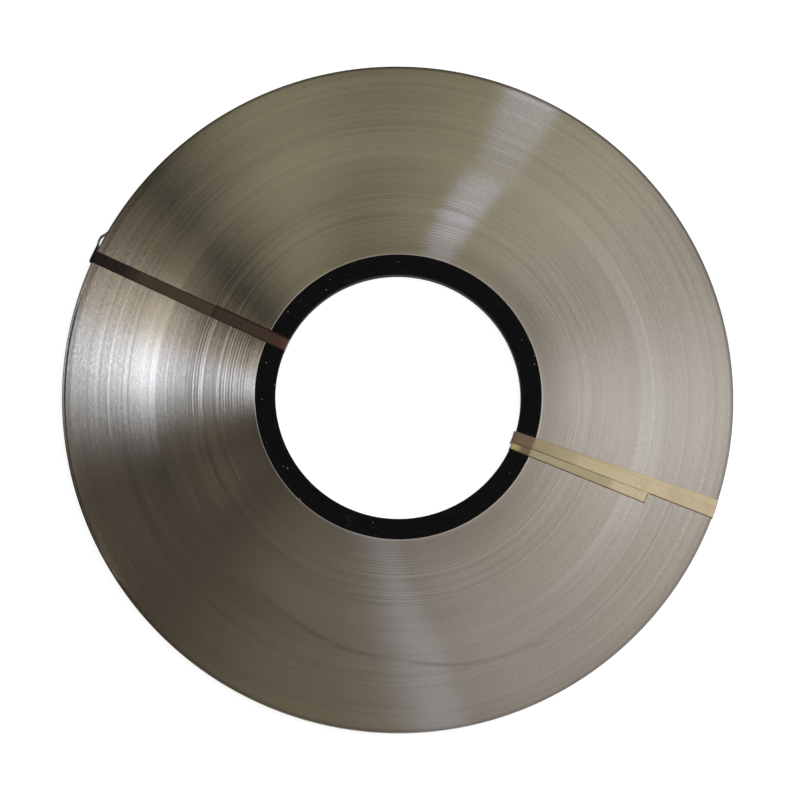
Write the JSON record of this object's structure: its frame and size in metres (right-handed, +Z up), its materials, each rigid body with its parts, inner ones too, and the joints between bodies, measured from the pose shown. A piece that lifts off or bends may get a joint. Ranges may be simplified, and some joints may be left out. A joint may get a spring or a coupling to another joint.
{
  "type": "nickel-plated steel strip coil",
  "caption": "Flat pancake coil of narrow nickel-plated steel strip, wound on a black ring core and held by tape bands tied round its section.",
  "frame": {"origin": "on the axis of the bore, at the plane that the undersides of the bands rest on", "axes": "+Z up along the bore axis; +X to the right and +Y to the top of the picture; the brown band lies at 155.3 degrees and the straw band at 341 degrees from +X towards +Y"},
  "size_m": [0.4099, 0.41, 0.011],
  "materials": {
    "nickel_plate": "satin nickel plate, slit edges with a fine circular grain",
    "core_black": "matt black, lightly scuffed",
    "tape_brown": "glossy dark brown film",
    "tape_straw": "glossy straw-coloured film, slightly see-through"
  },
  "bodies": {
    "root": {"strip_coil": "nickel_plate", "core_ring": "core_black", "brown_tie_band": "tape_brown", "straw_tie_band": "tape_straw"}
  },
  "joints": []
}
